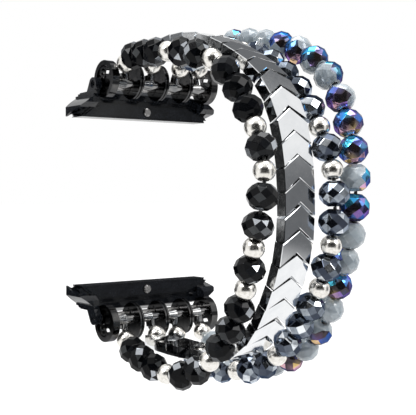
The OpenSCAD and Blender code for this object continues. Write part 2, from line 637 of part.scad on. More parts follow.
row_gunmetal_beads(2);  // row_3_gunmetal_beads
row_agate_beads(2);  // row_3_agate_beads
row_silver_balls(2);  // row_3_silver_balls
elastic() row_cords(2);  // row_3_cords
row_onyx_beads(3);  // row_4_onyx_beads
row_chevron_plates(3);  // row_4_chevron_plates
row_gunmetal_beads(3);  // row_4_gunmetal_beads
row_agate_beads(3);  // row_4_agate_beads
row_silver_balls(3);  // row_4_silver_balls
elastic() row_cords(3);  // row_4_cords
row_onyx_beads(4);  // row_5_onyx_beads
row_chevron_plates(4);  // row_5_chevron_plates
row_gunmetal_beads(4);  // row_5_gunmetal_beads
row_agate_beads(4);  // row_5_agate_beads
row_silver_balls(4);  // row_5_silver_balls
elastic() row_cords(4);  // row_5_cords
row_onyx_beads(5);  // row_6_onyx_beads
row_chevron_plates(5);  // row_6_chevron_plates
row_gunmetal_beads(5);  // row_6_gunmetal_beads
row_agate_beads(5);  // row_6_agate_beads
row_silver_balls(5);  // row_6_silver_balls
elastic() row_cords(5);  // row_6_cords
elastic() bridge_cords(0);  // bridge_cords_1
elastic() bridge_cords(1);  // bridge_cords_2
elastic() bridge_cords(2);  // bridge_cords_3
elastic() bridge_cords(3);  // bridge_cords_4
elastic() bridge_cords(4);  // bridge_cords_5
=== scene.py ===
import json
import math
import random

import bmesh
import bpy
import numpy as np
from mathutils import Matrix, Vector

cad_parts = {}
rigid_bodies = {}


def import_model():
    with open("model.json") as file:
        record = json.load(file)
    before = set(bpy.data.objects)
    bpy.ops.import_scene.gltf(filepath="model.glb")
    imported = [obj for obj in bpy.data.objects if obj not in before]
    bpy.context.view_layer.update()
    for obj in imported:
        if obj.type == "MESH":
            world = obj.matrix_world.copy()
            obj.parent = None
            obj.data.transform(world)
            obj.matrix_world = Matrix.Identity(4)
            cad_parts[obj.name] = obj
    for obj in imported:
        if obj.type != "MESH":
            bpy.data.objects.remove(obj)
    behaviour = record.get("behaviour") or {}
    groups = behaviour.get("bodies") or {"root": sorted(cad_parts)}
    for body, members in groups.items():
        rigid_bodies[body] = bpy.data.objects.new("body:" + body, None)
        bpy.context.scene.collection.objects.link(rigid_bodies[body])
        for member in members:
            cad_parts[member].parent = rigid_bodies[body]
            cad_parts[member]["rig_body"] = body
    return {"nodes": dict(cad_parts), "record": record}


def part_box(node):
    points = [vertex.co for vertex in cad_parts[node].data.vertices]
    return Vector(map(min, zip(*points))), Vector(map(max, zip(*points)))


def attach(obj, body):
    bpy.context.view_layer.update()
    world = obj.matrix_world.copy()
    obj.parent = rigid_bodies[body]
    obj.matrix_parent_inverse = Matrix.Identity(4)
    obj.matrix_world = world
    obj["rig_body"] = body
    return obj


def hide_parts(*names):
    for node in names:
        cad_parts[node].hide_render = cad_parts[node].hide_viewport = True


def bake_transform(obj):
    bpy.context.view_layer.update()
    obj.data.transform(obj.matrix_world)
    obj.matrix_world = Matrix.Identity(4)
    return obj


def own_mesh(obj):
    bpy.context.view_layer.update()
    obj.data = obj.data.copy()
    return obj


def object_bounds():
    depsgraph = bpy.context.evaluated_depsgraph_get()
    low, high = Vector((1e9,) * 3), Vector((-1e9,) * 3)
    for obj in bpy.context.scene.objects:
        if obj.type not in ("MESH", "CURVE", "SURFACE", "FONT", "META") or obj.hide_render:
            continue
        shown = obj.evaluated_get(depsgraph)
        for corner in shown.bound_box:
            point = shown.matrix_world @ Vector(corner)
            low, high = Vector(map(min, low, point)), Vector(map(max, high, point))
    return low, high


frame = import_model()
cad_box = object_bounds()
NODES = frame["nodes"]
SLOT_OF = {p["node"]: p["material_slot"] for p in frame["record"]["subparts"]}
MM = 0.001
ROWS = range(1, 7)
ENDS = ("top", "bottom")
WELD = 2e-6  # CAD corners closer than this are one
MIDDLE = Vector((0, -28 * MM, 0))  # the middle of the loop
random.seed(11)


# Camera. The lengths in pixels are in the photograph's frame of 416 by 415.
FOCAL_PX, WIDTH_PX, SENSOR_MM = 910.0, 416.0, 36
CENTRE_PX = (208, 207.5)
ANCHOR_PX = (154, 201)  # where the anchor, the middle of the case's back, falls
SIDE, TILT = math.radians(37), math.radians(1)
anchor = Vector((0, -5.35 * MM, 0))
distance = 200 * MM
look = Vector((math.sin(SIDE) * math.cos(TILT), math.cos(SIDE) * math.cos(TILT), -math.sin(TILT)))
right = Vector((math.cos(SIDE), -math.sin(SIDE), 0))
up = right.cross(look)
ahead = Vector((look.x, look.y, 0)).normalized()


def add_object(name, data):
    obj = bpy.data.objects.new(name, data)
    bpy.context.scene.collection.objects.link(obj)
    return obj


eye = anchor - distance * (look + (ANCHOR_PX[0] - CENTRE_PX[0]) / FOCAL_PX * right
                           - (ANCHOR_PX[1] - CENTRE_PX[1]) / FOCAL_PX * up)
cam = add_object("camera", bpy.data.cameras.new("camera"))
cam.data.sensor_width = SENSOR_MM
cam.data.lens = FOCAL_PX / WIDTH_PX * SENSOR_MM
cam.data.clip_start, cam.data.clip_end = 0.01, 20
cam.matrix_world = Matrix.Translation(eye) @ Matrix((right, up, -look)).transposed().to_4x4()
bpy.context.scene.camera = cam


# Node helpers
class Shader:
    """Adds nodes to the tree of a material or of the world, and links them by name."""

    def __init__(self, owner, output="OutputMaterial"):
        self.owner = owner
        owner.use_nodes = True
        self.tree = owner.node_tree
        self.tree.nodes.clear()
        self.out = self.node(output)

    def node(self, kind, inputs=None, **settings):
        n = self.tree.nodes.new("ShaderNode" + kind)
        for key, value in settings.items():
            setattr(n, key, value)
        for key, value in (inputs or {}).items():
            if isinstance(value, bpy.types.NodeSocket):
                self.tree.links.new(value, n.inputs[key])
            else:
                n.inputs[key].default_value = value
        return n

    def ramp(self, fac, stops):
        """A colour ramp. stops are (place, (red, green, blue))."""
        n = self.node("ValToRGB", {"Fac": fac})
        while len(n.color_ramp.elements) < len(stops):
            n.color_ramp.elements.new(0.5)
        for e, (at, colour) in zip(n.color_ramp.elements, stops):
            e.position = at
            e.color = (*colour, 1)
        return n.outputs["Color"]

    def greys(self, fac, *stops):
        """A ramp of greys. stops are (place, value)."""
        return self.ramp(fac, [(at, (value,) * 3) for at, value in stops])

    def mix(self, fac, a, b):
        return self.node("MixRGB", {"Fac": fac, "Color1": a, "Color2": b}).outputs["Color"]

    def either(self, a, b):
        return self.node("Math", {0: a, 1: b}, operation="MAXIMUM").outputs[0]

    def place(self, scale=(1, 1, 1)):
        c = self.node("TexCoord")
        return self.node("Mapping", {"Vector": c.outputs["Object"], "Scale": scale}).outputs["Vector"]

    def noise(self, scale, detail=4, rough=0.5, place=None):
        inputs = {"Vector": place or self.place(), "Scale": scale, "Detail": detail, "Roughness": rough}
        return self.node("TexNoise", inputs).outputs["Fac"]

    def bands(self, inputs):
        wave = self.node("TexWave", {"Vector": self.place(), **inputs}, wave_type="BANDS",
                         bands_direction="DIAGONAL")
        return wave.outputs["Fac"]

    def attribute(self, name):
        return self.node("Attribute", attribute_name=name, attribute_type="GEOMETRY").outputs["Color"]

    def facing(self, blend):
        return self.node("LayerWeight", {"Blend": blend}).outputs["Facing"]

    def bump(self, height, strength, distance):
        inputs = {"Height": height, "Strength": strength, "Distance": distance}
        return self.node("Bump", inputs).outputs["Normal"]

    def rays(self):
        """Whether a ray comes from the camera, and whether it comes off or through a shiny piece."""
        path = self.node("LightPath").outputs
        return path["Is Camera Ray"], self.either(path["Is Glossy Ray"], path["Is Transmission Ray"])

    def principled(self, **inputs):
        names = {"base": "Base Color", "metal": "Metallic", "rough": "Roughness", "coat": "Coat Weight",
                 "coat_rough": "Coat Roughness", "specular": "Specular IOR Level", "ior": "IOR",
                 "normal": "Normal", "sss": "Subsurface Weight", "sss_radius": "Subsurface Radius",
                 "sss_scale": "Subsurface Scale", "tint": "Specular Tint"}
        shader = self.node("BsdfPrincipled", {names[k]: v for k, v in inputs.items()})
        return self.finish(shader.outputs["BSDF"])

    def finish(self, shader):
        self.tree.links.new(shader, self.out.inputs["Surface"])
        return self.owner


def material(name):
    return Shader(bpy.data.materials.new(name))


def grey(v, warm=0.0):
    return (v * (1 + warm), v, v * (1 - warm), 1)


# Materials
def onyx_material():
    """Jet black stone. Each facet has its own tone at random; the lighter tones are painted internal
    reflections, and a few facets carry a painted glint.
    """
    s = material("onyx_faceted")
    facet = s.attribute("facet")
    veins = s.noise(380, 5, 0.55)
    # the ramp's upper stops are painted reflection: lighter facets that stand in for light reflected inside the
    # stone
    tone = s.ramp(facet, [(0.0, (0.001, 0.0012, 0.0016)), (0.6, (0.002, 0.0023, 0.003)),
                          (0.8, (0.012, 0.013, 0.015)), (0.92, (0.045, 0.048, 0.05)),
                          (1.0, (0.06, 0.064, 0.07))])
    base = s.mix(s.greys(veins, (0.5, 0), (0.75, 0.4)), tone, (0.006, 0.0065, 0.008, 1))
    # painted glint: a few facets get a light grey mirror colour that stands in for lamp glints
    painted_flash = s.greys(facet, (0.93, 0), (0.96, 0.75))
    base = s.mix(painted_flash, base, (0.55, 0.58, 0.62, 1))
    rough = s.greys(s.noise(2600, 6, 0.6), (0.35, 0.03), (0.8, 0.12))
    return s.principled(base=base, metal=painted_flash, rough=rough, specular=0.13, ior=1.5,
                        normal=s.bump(s.noise(900, 3), 0.04, 0.00005))


def gunmetal_material():
    """Crystal with a blue-grey mirror coat, which is its own colour; the spread of its facets' tones, from near
    black to near white at random, is painted reflection.
    """
    s = material("gunmetal_crystal")
    # painted reflection: random facets get near white or near black mirror colour in place of what they would
    # reflect
    tone = s.ramp(s.attribute("facet"), [(0.0, (0.035, 0.042, 0.06)), (0.45, (0.075, 0.088, 0.115)),
                                         (0.6, (0.22, 0.25, 0.29)), (0.82, (0.42, 0.46, 0.5)),
                                         (0.9, (0.84, 0.88, 0.92))])
    base = s.mix(s.greys(s.noise(700, 4), (0.45, 0), (0.8, 0.7)), tone, (0.04, 0.05, 0.075, 1))
    rough = s.greys(s.noise(2600, 5), (0.3, 0.025), (0.8, 0.09))
    return s.principled(base=base, metal=0.93, rough=rough, tint=(0.35, 0.4, 0.5, 1),
                        normal=s.bump(s.noise(900, 3), 0.035, 0.00005))


def hematite_material():
    """Mirror-polished grey plates with fine hairlines along the strand."""
    s = material("hematite_plate")
    hair = s.noise(5200, 3, 0.6, s.place((1, 0.25, 0.25)))
    cloud = s.greys(s.noise(420, 4), (0.35, 0), (0.75, 1))
    base = s.mix(cloud, (0.76, 0.775, 0.79, 1), (0.84, 0.85, 0.86, 1))
    return s.principled(base=base, metal=1.0, rough=s.greys(hair, (0.3, 0.05), (0.8, 0.13)),
                        normal=s.bump(hair, 0.025, 0.00003))


def silver_material():
    s = material("silver_ball")
    tarnish = s.greys(s.noise(1500, 5), (0.45, 0), (0.85, 1))
    base = s.mix(tarnish, (0.84, 0.82, 0.78, 1), (0.60, 0.57, 0.51, 1))
    rough = s.greys(s.noise(3600, 4), (0.35, 0.2), (0.8, 0.3))
    return s.principled(base=base, metal=1.0, rough=rough, normal=s.bump(s.noise(1200, 3), 0.03, 0.00005))


def agate_material():
    """Milky stone with faint bands. Light passes through it. Its sides are brighter than its edge because the
    edge is painted darker, and its facet tones carry a painted glow.
    """
    s = material("agate_milky")
    bands = s.bands({"Scale": 160.0, "Distortion": 7.0, "Detail": 3.0, "Detail Scale": 1.5})
    tone = s.ramp(s.attribute("facet"), [(0.0, (0.10, 0.12, 0.14)), (0.4, (0.22, 0.255, 0.28)),
                                         (0.7, (0.40, 0.45, 0.485)), (0.92, (0.74, 0.79, 0.82))])
    base = s.mix(s.greys(s.noise(260, 5, 0.6), (0.35, 0), (0.75, 0.6)), tone, (0.28, 0.32, 0.355, 1))
    base = s.mix(s.greys(bands, (0.55, 0), (1, 0.25)), base, (0.62, 0.67, 0.70, 1))
    # painted shade: the outline darkens where the surface turns away from the camera
    base = s.mix(s.greys(s.facing(0.3), (0.55, 0), (0.95, 0.9)), base, (0.10, 0.12, 0.15, 1))
    rough = s.greys(s.noise(2400, 5), (0.3, 0.05), (0.8, 0.14))
    return s.principled(base=base, rough=rough, sss=0.3, sss_radius=(0.8, 0.9, 1.0), sss_scale=0.0012,
                        ior=1.54, coat=0.35, coat_rough=0.03,
                        normal=s.bump(s.noise(900, 3), 0.05, 0.00006))


def rainbow_material():
    """The vapour-coated side of an agate bead: a tinted mirror film over smoky stone. The film colours are
    painted reflections, and the outline is painted dark.
    """
    s = material("agate_rainbow")
    film = s.attribute("film")
    base = s.mix(s.greys(s.noise(420, 3), (0.4, 0), (0.75, 0.45)), film, (0.10, 0.075, 0.09, 1))
    # painted shade: the coat goes deep blue at its outline, where it turns away from the camera
    base = s.mix(s.greys(s.facing(0.35), (0.45, 0), (0.9, 0.85)), base, (0.02, 0.022, 0.06, 1))
    rough = s.greys(s.noise(2400, 5), (0.3, 0.04), (0.8, 0.1))
    return s.principled(base=base, metal=0.8, rough=rough, tint=(0.15, 0.16, 0.3, 1),
                        normal=s.bump(s.noise(900, 3), 0.05, 0.00006))


def plating_material():
    """The glossy black coat of the lug adapters."""
    s = material("black_plating")
    cloud = s.greys(s.noise(520, 5, 0.6), (0.4, 0), (0.8, 1))
    grit = s.noise(4200, 4, 0.6)
    base = s.mix(cloud, (0.005, 0.006, 0.008, 1), (0.012, 0.014, 0.018, 1))
    return s.principled(base=base, rough=s.greys(grit, (0.3, 0.08), (0.85, 0.2)), specular=0.4, ior=1.5,
                        normal=s.bump(grit, 0.03, 0.00003))


def chrome_material(name, dark, light):
    """Black chrome: a dark mirror plating."""
    s = material(name)
    cloud = s.greys(s.noise(620, 5, 0.6), (0.4, 0), (0.8, 1))
    grit = s.noise(4200, 4, 0.6)
    return s.principled(base=s.mix(cloud, grey(dark, -0.02), grey(light, 0.03)), metal=1.0,
                        rough=s.greys(grit, (0.3, 0.07), (0.85, 0.17)), tint=(0.6, 0.6, 0.62, 1),
                        normal=s.bump(grit, 0.03, 0.00003))


def steel_material(name, light):
    """Steel with fine turned rings round X."""
    s = material(name)
    turned = s.noise(2600, 3, 0.5, s.place((8, 1, 1)))
    base = s.mix(s.greys(turned, (0.3, 0), (0.8, 1)), grey(light * 0.75, 0.02), grey(light, 0.02))
    return s.principled(base=base, metal=1.0, rough=s.greys(turned, (0.3, 0.18), (0.8, 0.38)),
                        normal=s.bump(turned, 0.06, 0.00003))


def cord_material():
    s = material("elastic_cord")
    strands = s.bands({"Scale": 900.0, "Distortion": 2.0})
    return s.principled(base=s.mix(strands, grey(0.012), grey(0.05)),
                        rough=s.greys(strands, (0, 0.4), (1, 0.62)), normal=s.bump(strands, 0.2, 0.00005))


MATERIALS = {
    "onyx": onyx_material(), "gunmetal_crystal": gunmetal_material(), "hematite": hematite_material(),
    "silver_ball": silver_material(), "agate": agate_material(), "black_plating": plating_material(),
    "pin_steel": steel_material("pin_steel", 0.4), "spring_steel": steel_material("spring_steel", 0.5),
    "elastic_cord": cord_material(),
}
RAINBOW = rainbow_material()
CHROME = {"connector_frame": chrome_material("black_chrome", 0.07, 0.13),
          "end_fittings": chrome_material("bright_chrome", 0.2, 0.32)}


def paint(obj, finish):
    obj.data.materials.clear()
    obj.data.materials.append(finish)


for name, obj in NODES.items():
    paint(obj, CHROME.get(name.split("_", 1)[1], MATERIALS[SLOT_OF[name]]))


def body_of(node):
    return NODES[node]["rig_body"]


def welded(node):
    """A node's CAD mesh with its corners joined."""
    bm = bmesh.new()
    bm.from_mesh(NODES[node].data)
    bmesh.ops.remove_doubles(bm, verts=bm.verts, dist=WELD)
    return bm


def islands(bm):
    """Groups of faces that hang together, one group for each solid, in the order of the faces."""
    left = set(bm.faces)
    groups = []
    for seed in bm.faces:
        if seed not in left:
            continue
        left.remove(seed)
        group, front = [seed], [seed]
        while front:
            face = front.pop()
            for edge in face.edges:
                for other in edge.link_faces:
                    if other in left:
                        left.remove(other)
                        group.append(other)
                        front.append(other)
        groups.append(group)
    return groups


def along_loop(point):
    """How far round the loop a point is, from the top connector to the bottom one."""
    return math.atan2(point.z, point.y - MIDDLE.y) % (2 * math.pi)


# Faceted beads. The coat's tones are painted reflection: they go by the way a facet points as the camera sees
# the bead at rest.
FILM_UP = [(0.02, 0.34, 0.90), (0.04, 0.50, 0.95), (0.10, 0.72, 0.95),
           (0.22, 0.25, 0.85), (0.55, 0.40, 0.85), (0.05, 0.20, 0.60)]
FILM_SIDE = [(0.015, 0.10, 0.38), (0.02, 0.16, 0.50), (0.07, 0.05, 0.14),
             (0.06, 0.05, 0.05), (0.10, 0.28, 0.45)]
FILM_DOWN = [(0.92, 0.66, 0.22), (0.30, 0.16, 0.55), (0.05, 0.045, 0.05),
             (0.85, 0.50, 0.62), (0.03, 0.12, 0.42), (0.07, 0.06, 0.06)]
# Facets that face the camera get these dark tones: a painted dark reflection.
FILM_DARK_FRONT = [(0.045, 0.035, 0.03), (0.03, 0.028, 0.032), (0.06, 0.05, 0.045)]
DARK_FRONT_FROM, UP_FROM, DOWN_FROM = 0.86, 0.3, -0.35
FACE_SHARE, CORNER_SHARE = 0.7, 0.3  # of a facet's own tone and of its corners' tones

# The coated beads of strand 4, as (row, bead from the top connector): the way that the coated side points,
# as (right, up, towards the camera), and how far the coat reaches: -1 is all over, 0 is half of the bead.
COATS = {(1, 1): (0.6, 0.8, 0.0, 0.55), (2, 1): (0.1, 1.0, 0.2, 0.1), (2, 2): (-0.8, -0.6, 0.5, 0.35),
         (2, 3): (0.0, 0.9, 0.5, 0.0), (2, 4): (0.8, 0.6, 0.0, 0.25), (3, 0): (-0.7, -0.5, 0.6, 0.3),
         (3, 1): (-0.5, 0.4, 0.8, -0.2), (3, 2): (0.1, 0.2, 1.0, -0.6), (3, 3): (0.9, -0.2, 0.3, 0.6),
         (4, 0): (0.2, 0.1, 1.0, -0.3), (4, 2): (-0.8, 0.4, 0.3, 0.6), (4, 3): (0.5, -0.4, 0.8, 0.0),
         (5, 0): (0.3, -0.8, 0.5, 0.5), (5, 2): (-0.2, -0.7, 0.7, 0.1), (6, 1): (-0.5, -0.8, 0.2, 0.4)}

FLAT_ANGLE, SHARP_ANGLE = math.radians(0.8), math.radians(8)
SHORTEST_EDGE = 0.3 * MM
COAT_EDGE, PLAIN_EDGE, MILKY_EDGE = 0.03 * MM, 0.035 * MM, 0.07 * MM


# Painted reflection: a coat colour picked by which way a facet or corner points, dark where it faces the
# camera.
def film_and_painted_reflection(normal):
    if normal.dot(-look) > DARK_FRONT_FROM:
        return random.choice(FILM_DARK_FRONT)
    rise = normal.z
    return random.choice(FILM_UP if rise > UP_FROM else FILM_DOWN if rise < DOWN_FROM else FILM_SIDE)


def painted_milk_glow(way):
    """Painted light: how bright a milky bead is painted on this side, as if light came through it. It is most
    on the upper right, at the back.
    """
    brightest = (0.5 * right + 0.7 * up + 0.5 * look).normalized()
    return max(0.0, min(1.0, 0.5 + 0.5 * way.normalized().dot(brightest)))


def centre_of(group):
    return sum((f.calc_center_median() for f in group), Vector()) / len(group)


def faceted(node, coats=None):
    """The beads of one CAD node again, with whole facets, fine bevelled edges and a tone for each facet. Coat
    colours are painted reflection, and milky beads' tones carry a painted glow.
    coats is for milky beads, and says which of them are coated."""
    milky = coats is not None
    bm = welded(node)
    bmesh.ops.dissolve_limit(bm, angle_limit=FLAT_ANGLE, verts=bm.verts, edges=bm.edges)
    bm.normal_update()
    for face in bm.faces:
        face.smooth = milky
    facet = bm.loops.layers.float_color.new("facet")
    film = bm.loops.layers.float_color.new("film")
    for k, group in enumerate(sorted(islands(bm), key=lambda g: along_loop(centre_of(g)))):
        coat = coats.get(k) if milky else None
        way = (right * coat[0] + up * coat[1] - look * coat[2]).normalized() if coat else None
        centre = centre_of(group)
        # coat colours by the way each corner and facet points: painted reflection
        tint = {v: film_and_painted_reflection((v.co - centre).normalized()) for f in group for v in f.verts}
        for face in group:
            tone = random.random()
            colour = film_and_painted_reflection(face.normal)
            face.material_index = 1 if coat and face.normal.dot(way) > coat[3] else 0
            for loop in face.loops:
                # on milky beads the tone is part random and part painted glow
                lit = 0.4 * tone + 0.6 * painted_milk_glow(loop.vert.co - centre) if milky else tone
                loop[facet] = (lit, lit, lit, 1)
                blend = (FACE_SHARE * a + CORNER_SHARE * b for a, b in zip(colour, tint[loop.vert]))
                loop[film] = (*blend, 1)
    for coated, width in ((1, COAT_EDGE), (0, MILKY_EDGE if milky else PLAIN_EDGE)):
        sharp = [e for e in bm.edges if len(e.link_faces) == 2 and e.calc_face_angle(0) > SHARP_ANGLE
                 and e.calc_length() > SHORTEST_EDGE and e.link_faces[0].material_index == coated]
        if sharp:
            bmesh.ops.bevel(bm, geom=sharp, offset=width, segments=2 if width == MILKY_EDGE else 1,
                            affect="EDGES", profile=0.5, clamp_overlap=True, material=-1)
    mesh = bpy.data.meshes.new(node + "_cut")
    bm.to_mesh(mesh)
    bm.free()
    obj = add_object(node + "_cut", mesh)
    mesh.materials.append(MATERIALS[SLOT_OF[node]])
    mesh.materials.append(RAINBOW)
    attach(obj, body_of(node))
    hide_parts(node)


for row in ROWS:
    faceted(f"row_{row}_onyx_beads")
    faceted(f"row_{row}_gunmetal_beads")
    faceted(f"row_{row}_agate_beads", {bead: coat for (r, bead), coat in COATS.items() if r == row})


# Silver balls, cords and springs
def add_mesh(name, verts, faces, node, body):
    """A new smooth piece from lists of points and faces. It replaces a CAD node and has its finish."""
    mesh = bpy.data.meshes.new(name)
    mesh.from_pydata([tuple(v) for v in verts], [], faces)
    for poly in mesh.polygons:
        poly.use_smooth = True
    mesh.update()
    obj = add_object(name, mesh)
    mesh.materials.append(MATERIALS[SLOT_OF[node]])
    if body:
        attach(obj, body)
    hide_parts(node)
    return obj


def join(verts, faces, more_verts, more_faces):
    """Adds the points and faces of one more solid to two lists."""
    faces += [tuple(i + len(verts) for i in ring) for ring in more_faces]
    verts += more_verts


def lathe(centre, axis, profile, steps):
    """Points and faces of a ring-shaped body turned round an axis.
    profile is a closed loop of (radius, height)."""
    axis = axis.normalized()
    u = axis.orthogonal().normalized()
    v = axis.cross(u)
    verts = []
    for k in range(steps):
        t = 2 * math.pi * k / steps
        out = u * math.cos(t) + v * math.sin(t)
        verts += [centre + out * r + axis * h for r, h in profile]
    n = len(profile)
    faces = [(k * n + i, ((k + 1) % steps) * n + i, ((k + 1) % steps) * n + (i + 1) % n, k * n + (i + 1) % n)
             for k in range(steps) for i in range(n)]
    return verts, faces


# Sizes of a silver ball in mm: its radius, half its length, its hole's radius and the hole's rounded lip
BALL_R, BALL_HALF, HOLE_R, LIP = 1.96, 1.68, 0.7, 0.16
LIP_FLAT, SHOULDER_DROP = 0.24, 0.02
BALL_ARCS, LIP_ARCS, BALL_STEPS = 26, 4, 56
INSIDE_RADIUS = 1.9 * MM  # CAD corners nearer to the ball's middle than this are the rims of its hole


def ball_profile():
    """From one mouth of the drilled hole over the ball to the other mouth, and back through the hole."""
    shoulder = math.acos((BALL_HALF - SHOULDER_DROP) / BALL_R)
    outside = [(BALL_R * math.sin(t), BALL_R * math.cos(t))
               for t in (shoulder + (math.pi - 2 * shoulder) * i / BALL_ARCS for i in range(BALL_ARCS + 1))]
    lip = [(HOLE_R + LIP * (1 - math.cos(t)), BALL_HALF - LIP * (1 - math.sin(t)))
           for t in (math.pi / 2 * i / LIP_ARCS for i in range(LIP_ARCS + 1))]
    top = lip + [(HOLE_R + LIP_FLAT, BALL_HALF)]
    bottom = [(r, -h) for r, h in reversed(top)]
    return [(r * MM, h * MM) for r, h in top + outside + bottom]


def silver_balls(node):
    bm = welded(node)
    verts, faces = [], []
    for group in islands(bm):
        area = sum(f.calc_area() for f in group)
        centre = sum((f.calc_center_median() * f.calc_area() for f in group), Vector()) / area
        corners = {v for f in group for v in f.verts}
        # the rims spread most along the hole, so that is the ball's axis
        spread = np.zeros((3, 3))
        for rim in [v.co - centre for v in corners if (v.co - centre).length < INSIDE_RADIUS]:
            spread += np.outer(rim, rim)
        axis = Vector(np.linalg.eigh(spread)[1][:, 2])
        join(verts, faces, *lathe(centre, axis, ball_profile(), BALL_STEPS))
    bm.free()
    add_mesh(node + "_turned", verts, faces, node, body_of(node))


CAD_SIDES = 6  # of a cord in the CAD
CORD_R, CORD_TRIM, CORD_TWIST, CORD_RELIEF, CORD_SIDES = 0.35 * MM, 0.15 * MM, 2200.0, 0.16, 12
CORD_STEP, BRIDGE_STEP = 0.3 * MM, 0.12 * MM  # between the rings of a cord


def tube_paths(node):
    """The centre lines of the CAD tubes in a node, each from the top connector's side to the bottom one's."""
    bm = welded(node)
    paths = []
    for group in islands(bm):
        planes = {}
        for f in group:
            planes.setdefault(tuple(round(c, 2) for c in f.normal), []).append(f)
        # a cap is a flat hexagon: six points in one plane, each a cord's radius from their middle
        best = None
        for flat in planes.values():
            ring = {v for f in flat for v in f.verts}
            if len(ring) != CAD_SIDES:
                continue
            mid = sum((v.co for v in ring), Vector()) / CAD_SIDES
            off = max(abs((v.co - mid).length - CORD_R) for v in ring)
            if best is None or off < best[0]:
                best = (off, ring)
        layer, seen, path = best[1], set(best[1]), []
        while layer:
            path.append(sum((v.co for v in layer), Vector()) / len(layer))
            layer = {e.other_vert(v) for v in layer for e in v.link_edges} - seen
            seen |= layer
        if along_loop(path[0]) > along_loop(path[-1]):
            path.reverse()
        paths.append(path)
    bm.free()
    return sorted(paths, key=lambda p: p[0].x)


def resample(path, step):
    """Even points on a smooth curve through the path's points."""
    p = [path[0] * 2 - path[1]] + path + [path[-1] * 2 - path[-2]]
    fine = []
    for a, b, c, d in zip(p, p[1:], p[2:], p[3:]):
        n = max(2, int((c - b).length / step))
        for k in range(n):
            t = k / n
            fine.append(0.5 * (2 * b + (c - a) * t + (2 * a - 5 * b + 4 * c - d) * t * t
                               + (3 * b - a - 3 * c + d) * t ** 3))
    return fine + [path[-1]]


def tube(path, radius, sides, relief=0.0, twist=0.0, first=Vector((1, 0, 0))):
    """Points and faces of a round tube on a path. relief and twist give it the ribs of a twisted cord."""
    verts, run = [], 0.0
    u = first
    for i, p in enumerate(path):
        way = (path[min(i + 1, len(path) - 1)] - path[max(i - 1, 0)]).normalized()
        u = (u - way * u.dot(way)).normalized()
        v = way.cross(u)
        run += (p - path[i - 1]).length if i else 0
        for k in range(sides):
            t = 2 * math.pi * k / sides
            r = radius * (1 - relief * (0.5 - 0.5 * math.cos(3 * (t + twist * run))))
            verts.append(p + (u * math.cos(t) + v * math.sin(t)) * r)
    n = len(path)
    faces = [(i * sides + k, i * sides + (k + 1) % sides,
              (i + 1) * sides + (k + 1) % sides, (i + 1) * sides + k)
             for i in range(n - 1) for k in range(sides)]
    faces.append(tuple(reversed(range(sides))))
    faces.append(tuple((n - 1) * sides + k for k in range(sides)))
    return verts, faces


def cord(path, step):
    return tube(resample(path, step), CORD_R, CORD_SIDES, CORD_RELIEF, CORD_TWIST)


def row_cords(node):
    verts, faces = [], []
    for path in tube_paths(node):
        # the ends stay a little inside their holes, so that they are free when the band bends
        path[0] += (path[1] - path[0]).normalized() * CORD_TRIM
        path[-1] += (path[-2] - path[-1]).normalized() * CORD_TRIM
        join(verts, faces, *cord(path, CORD_STEP))
    add_mesh(node + "_twisted", verts, faces, node, body_of(node))


def bridging_cords(k):
    """The cords between two rows, baked in place on no body. Their rings lie closer."""
    node = f"bridge_cords_{k}"
    for j, path in enumerate(tube_paths(node)):
        verts, faces = cord(path, BRIDGE_STEP)
        piece = add_mesh(f"{node}_strand_{j + 1}", verts, faces, node, None)
        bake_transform(piece)


WIRE, WIRE_SIDES = 0.2 * MM, 8
LATCH_TURNS, TIP_TURNS, DEAD_TURNS, STEPS_PER_TURN = 3, 12, 1.0, 18


def coil(start, end, radius, turns):
    """The centre line of a compression spring with one dead turn at each end."""
    axis = end - start
    length = axis.length - WIRE
    axis.normalize()
    u = axis.orthogonal().normalized()
    v = axis.cross(u)
    steps = int((turns + 2 * DEAD_TURNS) * STEPS_PER_TURN)
    path = []
    for i in range(steps + 1):
        n = (turns + 2 * DEAD_TURNS) * i / steps
        dead = WIRE * 0.5 * (min(n, DEAD_TURNS) + max(0.0, n - turns - DEAD_TURNS))
        live = (length - WIRE * DEAD_TURNS) * min(max(n - DEAD_TURNS, 0.0), turns) / turns
        t = 2 * math.pi * n
        path.append(start + axis * (WIRE / 2 + dead + live) + (u * math.cos(t) + v * math.sin(t)) * radius)
    return path


def springs(end):
    """The latch's spring, and the two halves of the spring bar's one, which push on the two tips."""
    node = f"{end}_latch_spring"
    low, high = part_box(node)
    mid = (Vector(low) + Vector(high)) / 2
    path = coil(Vector((mid.x, low[1], mid.z)), Vector((mid.x, high[1], mid.z)),
                (high[0] - low[0]) / 2 - WIRE / 2, LATCH_TURNS)
    verts, faces = tube(path, WIRE / 2, WIRE_SIDES, first=Vector((0, 1, 0)))
    piece = add_mesh(node + "_coil", verts, faces, node, body_of(node))
    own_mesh(piece)

    node = f"{end}_spring_bar_spring"
    low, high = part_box(node)
    mid = (Vector(low) + Vector(high)) / 2
    for x, name in ((low[0], "left"), (high[0], "right")):
        path = coil(mid, Vector((x, mid.y, mid.z)), (high[1] - low[1]) / 2 - WIRE / 2, TIP_TURNS)
        verts, faces = tube(path, WIRE / 2, WIRE_SIDES)
        piece = add_mesh(f"{node}_{name}", verts, faces, node, body_of(node))
        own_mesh(piece)


for row in ROWS:
    silver_balls(f"row_{row}_silver_balls")
    row_cords(f"row_{row}_cords")
    if row < len(ROWS):
        bridging_cords(row)
for end in ENDS:
    springs(end)


# Rigid CAD pieces
def soften(node, width):
    """Fine rounded edges on a CAD node whose shape is already right. width is in mm."""
    b = NODES[node].modifiers.new("edges", "BEVEL")
    b.width = width * MM
    b.segments = 2
    b.limit_method = "ANGLE"
    b.angle_limit = math.radians(25)
    b.harden_normals = False


